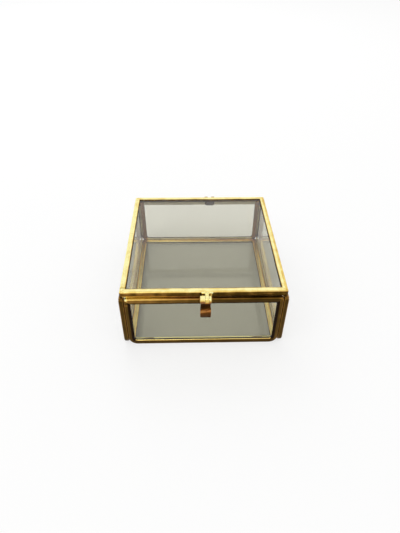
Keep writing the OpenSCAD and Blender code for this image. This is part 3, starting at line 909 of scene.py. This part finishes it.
def bevelled_copy(name, node_name, width):
    """A copy of a CAD node with its edges broken, marked as worn along them."""
    shape = bmesh.new()
    shape.from_mesh(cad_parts[node_name].data)
    bmesh.ops.remove_doubles(shape, verts=shape.verts, dist=MERGE)
    bmesh.ops.dissolve_limit(shape, angle_limit=FLAT_EDGE, verts=shape.verts, edges=shape.edges)
    edges = [edge for edge in shape.edges
             if edge.is_manifold and edge.calc_face_angle(0.0) > BROKEN_EDGE]
    made = bmesh.ops.bevel(shape, geom=edges, offset=width, segments=2, profile=0.6,
                           affect="EDGES", clamp_overlap=True)
    bmesh.ops.triangulate(shape, faces=shape.faces)
    wear = shape.verts.layers.float.new("wear")
    worked = shape.verts.layers.float.new("worked")
    strip = shape.verts.layers.float_vector.new("strip")
    for point in shape.verts:
        point[worked] = COPY_MARKS
        point[strip] = Vector((point.co.x, point.co.y + point.co.z, 0.0))
    for point in made["verts"]:
        if point.is_valid:
            point[wear] = COPY_WEAR
    mesh = bpy.data.meshes.new(name)
    shape.to_mesh(mesh)
    shape.free()
    return new_object(name, mesh)


def bezier(a, b, c, d, t):
    """Point at t on the cubic curve from a to d with handles b and c."""
    u = 1 - t
    return a * u ** 3 + b * 3 * t * u ** 2 + c * 3 * t * t * u + d * t ** 3


class Clasp:
    """Where the clasp lies, as its CAD nodes give it: out from the front wall, and up."""

    def __init__(self):
        s = sizes()
        pin_low, pin_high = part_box("clasp_pin")
        leaf_low, leaf_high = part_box("clasp_lid_leaf")
        self.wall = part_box("front_frame")[0].y
        self.out = self.wall - (pin_low.y + pin_high.y) / 2
        self.up = (pin_low.z + pin_high.z) / 2
        self.drop = self.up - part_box("clasp_strap")[0].z
        self.left = pin_low.x + s.pin_head + s.pin_play
        self.right = pin_high.x - s.pin_head - s.pin_play
        self.centre = (self.left + self.right) / 2
        leaf = (leaf_low.x + leaf_high.x) / 2
        self.middle_left = leaf - s.clasp_middle / 2 - s.knuckle_gap
        self.middle_right = leaf + s.clasp_middle / 2 + s.knuckle_gap

    def strap_line(self):
        """Middle line of the strap, as (out, up) from the pin's height at the wall: from the
        front of the knuckles through the waist and the knee to the tip of the finger tab."""
        s = sizes()
        tab = self.drop - s.waist_drop
        waist = Vector((s.strap_gap + s.strap_sheet / 2, -s.waist_drop))
        top = Vector((self.out + s.clasp_radius - s.strap_sheet / 2, 0.0))
        tip = Vector((waist.x + s.tab_flare, -self.drop))
        knee = Vector((tip.x - s.strap_sheet / 2, -s.waist_drop - 0.38 * tab))
        slope = Vector((0.4 * s.tab_flare, -0.04 * tab))
        # Each curve has its handles at shares of the waist's drop, the tab's height and flare
        curves = [
            (top, top - Vector((0, 0.4 * s.waist_drop)),
             waist + Vector((0, 0.5 * s.waist_drop)), waist),
            (waist, waist - Vector((0, 0.28 * tab)), knee - slope, knee),
            (knee, knee + slope, tip + Vector((0.08 * s.tab_flare, 0.3 * tab)), tip),
        ]
        return [top] + [bezier(*curve, i / 10) for curve in curves for i in range(1, 11)]


class BentSheets:
    """Collects bent sheets that follow side lines in front of the wall."""

    def __init__(self, clasp):
        self.clasp = clasp
        self.points, self.faces = [], []
        self.marks = {"strip": [], "wear": [], "worked": [], "painted_shade": []}

    def add(self, line, thick, edges, painted_shade_at, skew=lambda part: 0.0):
        """Adds a sheet with rounded edges. edges gives its left and right edge, the next argument
        its painted shade, a painted highlight where below nothing, and skew how it rises towards
        the right, each for the share of the line passed."""
        first = len(self.points)
        along = 0.0
        last = len(line) - 1
        for index, spot in enumerate(line):
            ahead = line[min(index + 1, last)] - line[max(index - 1, 0)]
            side = Vector((-ahead.y, ahead.x)).normalized()
            along += (spot - line[index - 1]).length if index else 0.0
            ring = self.sheet_ring(thick, *edges(index / last))
            for x, away, wear in ring:
                flat = spot + side * away
                rise = skew(index / last) * (x - self.clasp.centre)
                self.points.append(Vector((x, self.clasp.wall - flat.x,
                                           self.clasp.up + flat.y + rise)))
                self.marks["strip"].append((along, x + away, 0.0))
                self.marks["wear"].append(END_WEAR if index in (0, last) else wear)
                self.marks["worked"].append(SHEET_MARKS)
                self.marks["painted_shade"].append(painted_shade_at(index / last))
        self.faces += tube_faces(len(line), len(ring), first)
        self.faces.append(tuple(range(first, first + len(ring))))
        self.faces.append(tuple(range(len(self.points) - len(ring), len(self.points))))

    def sheet_ring(self, thick, left, right):
        """Section of a sheet: place across, height over its middle and wear of each point."""
        r = min(SHEET_EDGE, thick * 0.35)
        corners = ((right - r, thick / 2 - r, 0), (left + r, thick / 2 - r, 90),
                   (left + r, r - thick / 2, 180), (right - r, r - thick / 2, 270))
        ring = []
        for x, away, start in corners:
            for turn in (0, 45, 90):
                angle = math.radians(start + turn)
                ring.append((x + r * math.cos(angle), away + r * math.sin(angle),
                             RIM_WEAR if turn == 45 else SIDE_WEAR))
        spread = []
        for one, two in zip(ring, ring[1:] + ring[:1]):
            spread.append(one)
            if math.dist(one[:2], two[:2]) > 1.0 * MM:
                spread += [(one[0] + (two[0] - one[0]) * part,
                            one[1] + (two[1] - one[1]) * part, SHEET_WEAR)
                           for part in SHEET_PARTS]
        return spread


def curl(pin_out, radius, stop):
    """Side line of a knuckle curled round the pin, up to an angle from straight out."""
    turn = stop - CURL_START
    count = round(turn / CURL_STEP)
    angles = [math.radians(CURL_START + turn * i / count) for i in range(count + 1)]
    return [Vector((pin_out + radius * math.cos(a), radius * math.sin(a))) for a in angles]


def bump(value, middle, width):
    """A smooth bump of height 1 round its middle."""
    return math.exp(-((value - middle) / width) ** 2)


def between(stops, value):
    """Value of a line through (place, value) stops, which are in rising order."""
    for (place, low), (after, high) in zip(stops, stops[1:]):
        if value <= after:
            return low + (high - low) * max(0.0, value - place) / (after - place)
    return stops[-1][1]


def clasp_strap_piece():
    """The clasp strap: two curled knuckles on the pin, the waist and the finger tab. It has
    painted highlights on the knuckles and the knee, and painted shade on the knuckles' lower
    front, in the waist and on the tab."""
    s = sizes()
    clasp = Clasp()
    sheets = BentSheets(clasp)
    line = clasp.strap_line()
    pin = Vector((clasp.out, 0))
    start = next(i for i, spot in enumerate(line)
                 if (spot - pin).length > s.clasp_radius + KNUCKLE_CLEAR)
    half = s.strap_width / 2
    middle, thick = (s.clasp_radius + s.clasp_bore) / 2, s.clasp_radius - s.clasp_bore
    curled = curl(clasp.out, middle, LEFT_CURL_STOP)
    sagged = [spot - Vector((0, KNUCKLE_SAG))
              for spot in curl(clasp.out, middle, RIGHT_CURL_STOP)]
    neck = [spot for spot in line[:start + 1] if spot.y < -0.2 * MM]
    for left, right, curve, sheet in (
            (clasp.left, clasp.middle_left, curled, thick),
            (clasp.middle_right, clasp.right, sagged, 0.7 * thick)):
        sheets.add(curve, sheet, lambda part: (left, right),
                   lambda part: between(KNUCKLE_SHADE, part))
        edges = max(left, clasp.centre - half), min(right, clasp.centre + half)
        # The neck gets painted shade that deepens downwards
        sheets.add(neck, s.strap_sheet, lambda part: edges, lambda part: 0.3 + 0.4 * part)

    def hung_edges(part):
        waist = WAIST_NARROWER * bump(part, WAIST_PLACE, BUMP_REACH)
        tip = TIP_NARROWER * max(0.0, (part - TIP_START) / TIP_LENGTH) ** 2
        reach = half - waist - tip
        return clasp.centre - reach, clasp.centre + reach

    sheets.add(line[start:], s.strap_sheet, hung_edges, lambda part: between(STRAP_SHADE, part),
               lambda part: KNEE_SKEW * bump(part, KNEE_PLACE, BUMP_REACH))
    return mesh_object("clasp_hasp", sheets.points, sheets.faces, sheets.marks)


# ---------- solder ----------

# Radius of the solder in the corners, on the floor's tacks and round the clasp's leaf, and
# the distance between its sections
SEAM_RADIUS, TACK_RADIUS, LEAF_RADIUS = 0.62 * MM, 0.36 * MM, 0.6 * MM
SOLDER_STEP = 0.7 * MM
# How far the corner runs lie inside the corners of their node
SEAM_INSET = 0.42 * MM
# The tacks' distance from the floor's ends, their length, and how far their middle line
# lies from the outside and from the underside of their node
TACK_FROM_END, TACK_LENGTH, TACK_INSET, TACK_RISE = 9 * MM, 7 * MM, 0.22 * MM, 0.25 * MM
# Solder along the top of the clasp's leaf: start and end from the leaf's left edge, place
# behind the lid's front and depth below its top, in millimetres
LEAF_RUNS = ((-0.6, 2.6, 0.25, 0.72), (2.2, 4.4, -0.1, 0.9), (4.1, 6.9, 0.1, 0.82))


def line_object(name, lines):
    """A piece of bare lines, one edge chain for each list of points."""
    points, edges = [], []
    for line in lines:
        edges += [(len(points) + i, len(points) + i + 1) for i in range(len(line) - 1)]
        points += line
    mesh = bpy.data.meshes.new(name)
    mesh.from_pydata(points, edges, [])
    return new_object(name, mesh)


def solder_runs(name, lines, radius, material="lacquered_solder"):
    """Runs of solder along lines, as closed lumpy beads."""
    piece = line_object(name, lines)
    return through_tree(piece, "Solder run", solder_run_tree, {
        "Radius": radius, "Step": SOLDER_STEP, "Lumps per metre": LUMPS,
        "Seed": float(sizes().seed), "Material": material_named(material)})


# ---------- operators ----------

class BOX_OT_wall_frames(bpy.types.Operator):
    """Make the channel strips of the four walls and the floor"""

    bl_idname = "jewelry_box.wall_frames"
    bl_label = "Wall and Floor Frames"

    def execute(self, context):
        s = sizes()
        for side in ("front", "back", "left", "right"):
            panel = Panel(f"{side}_frame", *PANELS[side])
            strip = channel_strip(f"{side}_channel", panel, s.wall_fold, True, wall_painted_light)
            worked_finish(strip, "wall_patina_and_shade")
            finish_piece(strip, "box", "wall_channel", panel.node)
        panel = Panel("floor_frame", *PANELS["floor"])
        strip = channel_strip("floor_channel", panel, s.lid_fold, False, floor_painted_light,
                              s.floor_front_leg)
        worked_finish(strip, "floor_patina_and_shade")
        finish_piece(strip, "box", "floor_channel", panel.node)
        return {"FINISHED"}


class BOX_OT_lid_frame(bpy.types.Operator):
    """Make the channel strip of the lid"""

    bl_idname = "jewelry_box.lid_frame"
    bl_label = "Lid Frame"

    def execute(self, context):
        s = sizes()
        panel = Panel("lid_frame", *PANELS["lid"])
        # The node also holds the hanging lip, which the channel's own section leaves out
        panel.start.z += s.lid_lip
        panel.thick -= s.lid_lip
        strip = channel_strip("lid_channel", panel, s.lid_fold, False, lid_painted_light, lip=s.lid_lip)
        worked_finish(strip, "lid_patina_and_shade")
        finish_piece(strip, "lid", "lid_channel", panel.node)
        return {"FINISHED"}


class BOX_OT_panes(bpy.types.Operator):
    """Make the glass panes of the walls, the floor and the lid"""

    bl_idname = "jewelry_box.panes"
    bl_label = "Glass Panes"

    def execute(self, context):
        for side in PANELS:
            pane = glass_pane(f"{side}_pane", side, side not in ("floor", "lid"))
            body, slot = ("lid", "lid_pane") if side == "lid" else ("box", "body_pane")
            finish_piece(pane, body, slot, f"{side}_glass")
        return {"FINISHED"}


class BOX_OT_hinge(bpy.types.Operator):
    """Make the two hinge leaves and the hinge pin"""

    bl_idname = "jewelry_box.hinge"
    bl_label = "Hinge"

    def execute(self, context):
        for name, source, body, patina in (
                ("hinge_tongue", "hinge_body_leaf", "box", "hinge_patina_and_shade"),
                ("hinge_axle", "hinge_pin", "box", "hinge_patina_and_shade"),
                ("hinge_lid_plate", "hinge_lid_leaf", "lid", "leaf_patina_and_shade")):
            piece = bevelled_copy(name, source, HINGE_EDGE)
            worked_finish(piece, patina, SMALL_MARKS)
            finish_piece(piece, body, "hinge_brass", source)
        return {"FINISHED"}


class BOX_OT_clasp(bpy.types.Operator):
    """Make the clasp's leaf, pin and strap"""

    bl_idname = "jewelry_box.clasp"
    bl_label = "Clasp"

    def execute(self, context):
        for name, source, patina in (("clasp_lid_plate", "clasp_lid_leaf", "clasp_patina_and_shade"),
                                     ("clasp_axle", "clasp_pin", "leaf_patina_and_shade")):
            piece = bevelled_copy(name, source, CLASP_EDGE)
            worked_finish(piece, patina, SMALL_MARKS)
            finish_piece(piece, "lid", "clasp_brass", source)
        strap = clasp_strap_piece()
        worked_finish(strap, "clasp_patina_and_shade", STRAP_MARKS)
        finish_piece(strap, "clasp", "clasp_brass", "clasp_strap")
        return {"FINISHED"}


class BOX_OT_solder(bpy.types.Operator):
    """Run the solder up the inside corners, tack the floor and join the clasp to the lid"""

    bl_idname = "jewelry_box.solder"
    bl_label = "Solder"

    def execute(self, context):
        runs = solder_runs("corner_seams", self.seam_lines(), SEAM_RADIUS)
        finish_piece(runs, "box", "solder", "corner_solder")
        tacks = solder_runs("floor_tacks", self.tack_lines(), TACK_RADIUS)
        finish_piece(tacks, "box", "solder", "floor_solder")
        joint = solder_runs("clasp_solder", self.leaf_lines(), LEAF_RADIUS, "lighter_solder")
        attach(joint, "lid")
        return {"FINISHED"}

    def seam_lines(self):
        """An upright line in each inside corner."""
        low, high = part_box("corner_solder")
        return [[Vector((x, y, z)) for z in (low.z, high.z)]
                for x in (low.x + SEAM_INSET, high.x - SEAM_INSET)
                for y in (low.y + SEAM_INSET, high.y - SEAM_INSET)]

    def tack_lines(self):
        """Two short lines along each edge of the floor."""
        low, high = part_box("floor_solder")
        height = low.z + TACK_RISE
        lines = []
        for y in (low.y + TACK_INSET, high.y - TACK_INSET):
            for x in (low.x + TACK_FROM_END, high.x - TACK_FROM_END - TACK_LENGTH):
                lines.append([Vector((x, y, height)), Vector((x + TACK_LENGTH, y, height))])
        for x in (low.x + TACK_INSET, high.x - TACK_INSET):
            for y in (low.y + TACK_FROM_END, high.y - TACK_FROM_END - TACK_LENGTH):
                lines.append([Vector((x, y, height)), Vector((x, y + TACK_LENGTH, height))])
        return lines

    def leaf_lines(self):
        """Short lines along the top of the clasp's leaf, where it is soldered to the lid."""
        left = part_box("clasp_lid_leaf")[0].x
        front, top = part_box("lid_frame")[0].y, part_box("lid_frame")[1].z
        return [[Vector((left + x * MM, front + behind * MM, top - drop * MM))
                 for x in (start, end)] for start, end, behind, drop in LEAF_RUNS]


# Reach of the studio floor, its place under the box, and its colour where it is seen
FLOOR_REACH, FLOOR_LEVEL = 4.0, -0.02 * MM
SEEN_FLOOR = (0.97, 0.97, 0.965, 1.0)
WHITE = (1.0, 1.0, 1.0, 1.0)
# Share of the floor that glows where the camera or a mirror sees it
FLOOR_GLOW = 0.7
# Light of the sky at the horizon, and what it gains upwards and backwards
SKY_LEVEL, SKY_UP, SKY_BACK = 0.62, 0.3, 0.18
# Name, place, width in metres, power in watts, and whether it is only for glints
LAMPS = (
    ("back_lamp", (-0.25, 1.0, 0.95), 0.9, 4.0, False),
    ("front_lamp", (-0.9, -0.7, 1.1), 0.8, 2.0, False),
    ("glint_lamp", (-0.3, -1.0, 0.8), 0.4, 0.8, True),
)
# The camera's pitch, yaw and roll in degrees, its place and its lens in millimetres
CAMERA_ANGLES = (39.996, -1.666, 0.487)
CAMERA_PLACE = (-7.64, -228.13, 210.58)
CAMERA_LENS = 28.425


class BOX_OT_stage(bpy.types.Operator):
    """Set the pale floor, the sky, the lamps and the camera"""

    bl_idname = "jewelry_box.stage"
    bl_label = "Stage, Lamps and Camera"

    def execute(self, context):
        self.lay_floor()
        self.set_world(context.scene)
        self.hang_lamps(context.scene)
        self.place_camera(context.scene)
        context.scene.view_settings.view_transform = "Standard"
        return {"FINISHED"}

    def lay_floor(self):
        """A wide pale floor just under the box. It is white to the camera, in the metal and
        through the glass, and keeps the box's soft shadow."""
        reach, under = FLOOR_REACH, FLOOR_LEVEL
        mesh = bpy.data.meshes.new("studio_floor")
        mesh.from_pydata([(-reach, -reach, under), (reach, -reach, under),
                          (reach, reach, under), (-reach, reach, under)], [], [(0, 1, 2, 3)])
        material, output = new_material("studio_floor")
        tree = material.node_tree
        rays = node(tree, "ShaderNodeLightPath").outputs
        mirrored = maths(tree, "SUBTRACT", rays["Is Glossy Ray"], rays["Is Transmission Ray"],
                         clamp=True)
        seen = maths(tree, "MAXIMUM", rays["Is Camera Ray"], mirrored)
        tint = node(tree, "ShaderNodeMix", {
            "Factor": maths(tree, "MAXIMUM", seen, rays["Is Transmission Ray"]),
            6: (*colours().floor, 1.0), 7: SEEN_FLOOR}, data_type="RGBA")
        matt = node(tree, "ShaderNodeBsdfDiffuse", {"Color": tint.outputs[2]})
        glow = node(tree, "ShaderNodeEmission", {"Color": WHITE, "Strength": 1.0})
        shader = node(tree, "ShaderNodeMixShader", {
            0: maths(tree, "MULTIPLY", seen, FLOOR_GLOW),
            1: matt.outputs[0], 2: glow.outputs[0]})
        tree.links.new(shader.outputs[0], output.inputs[0])
        mesh.materials.append(material)
        new_object("studio_floor", mesh)

    def set_world(self, scene):
        """Pale light, stronger from above and behind, and white where the camera, the glass
        and the metal look past the floor."""
        world = bpy.data.worlds.new("studio")
        world.use_nodes = True
        tree = world.node_tree
        tree.nodes.clear()
        rays = node(tree, "ShaderNodeLightPath").outputs
        seen = weighted_sum(tree, 0.0, (rays["Is Camera Ray"], 1.0),
                            (rays["Is Glossy Ray"], 1.0), (rays["Is Transmission Ray"], 1.0))
        heading = node(tree, "ShaderNodeSeparateXYZ", {
            0: node(tree, "ShaderNodeTexCoord").outputs["Generated"]}).outputs
        glow = weighted_sum(tree, SKY_LEVEL, (heading["Z"], SKY_UP), (heading["Y"], SKY_BACK))
        strength = node(tree, "ShaderNodeMapRange", {
            "Value": seen, "To Min": glow, "To Max": 1.0}).outputs[0]
        sky = node(tree, "ShaderNodeBackground", {"Color": WHITE, "Strength": strength})
        output = node(tree, "ShaderNodeOutputWorld")
        tree.links.new(sky.outputs[0], output.inputs[0])
        scene.world = world

    def hang_lamps(self, scene):
        """A broad lamp behind and above, and a weaker one at the left front, neither of which
        shows as a disc in the glass, and a small one in front for glints on the metal."""
        for name, place, size, power, glints in LAMPS:
            lamp = bpy.data.lights.new(name, "AREA")
            lamp.shape = "DISK"
            lamp.size = size
            lamp.energy = power
            holder = bpy.data.objects.new(name, lamp)
            scene.collection.objects.link(holder)
            holder.location = place
            holder.rotation_euler = (-Vector(place)).to_track_quat("-Z", "Y").to_euler()
            holder.visible_glossy = glints
            holder.visible_diffuse = not glints
            holder.visible_transmission = False

    def place_camera(self, scene):
        """A close hand-held view from the front, looking down at the lid."""
        pitch, yaw, roll = (math.radians(angle) for angle in CAMERA_ANGLES)
        forward = Vector((-math.sin(yaw) * math.cos(pitch), math.cos(yaw) * math.cos(pitch),
                          -math.sin(pitch)))
        right = Vector((math.cos(yaw), math.sin(yaw), 0.0))
        up = right.cross(forward)
        turned = right * math.cos(roll) + up * math.sin(roll)
        up = up * math.cos(roll) - right * math.sin(roll)
        data = bpy.data.cameras.new("camera")
        data.sensor_width = 36.0
        data.lens = CAMERA_LENS
        data.clip_start = 1 * MM
        holder = bpy.data.objects.new("camera", data)
        scene.collection.objects.link(holder)
        turn = Matrix((turned, up, -forward)).transposed().to_4x4()
        holder.matrix_world = Matrix.Translation(Vector(CAMERA_PLACE) * MM) @ turn
        scene.camera = holder


class VIEW3D_PT_jewelry_box(bpy.types.Panel):
    """Sidebar panel of the jewelry box"""

    bl_label = "Jewelry Box"
    bl_idname = "VIEW3D_PT_jewelry_box"
    bl_space_type = "VIEW_3D"
    bl_region_type = "UI"
    bl_category = "Jewelry Box"

    def draw(self, context):
        for group in (context.scene.box_sizes, context.scene.box_colours):
            column = self.layout.column(align=True)
            for key in group.__annotations__:
                column.prop(group, key)
        for operator in OPERATORS:
            self.layout.operator(operator.bl_idname)


OPERATORS = (BOX_OT_stage, BOX_OT_wall_frames, BOX_OT_lid_frame, BOX_OT_panes,
             BOX_OT_hinge, BOX_OT_clasp, BOX_OT_solder)
CLASSES = (BoxSizes, BoxColours, *OPERATORS, VIEW3D_PT_jewelry_box)


def register():
    for item in CLASSES:
        bpy.utils.register_class(item)
    bpy.types.Scene.box_sizes = PointerProperty(type=BoxSizes)
    bpy.types.Scene.box_colours = PointerProperty(type=BoxColours)


def unregister():
    del bpy.types.Scene.box_colours
    del bpy.types.Scene.box_sizes
    for item in reversed(CLASSES):
        bpy.utils.unregister_class(item)


def main():
    """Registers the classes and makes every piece."""
    register()
    for operator in OPERATORS:
        group, name = operator.bl_idname.split(".")
        getattr(getattr(bpy.ops, group), name)()


if __name__ == "__main__":
    main()
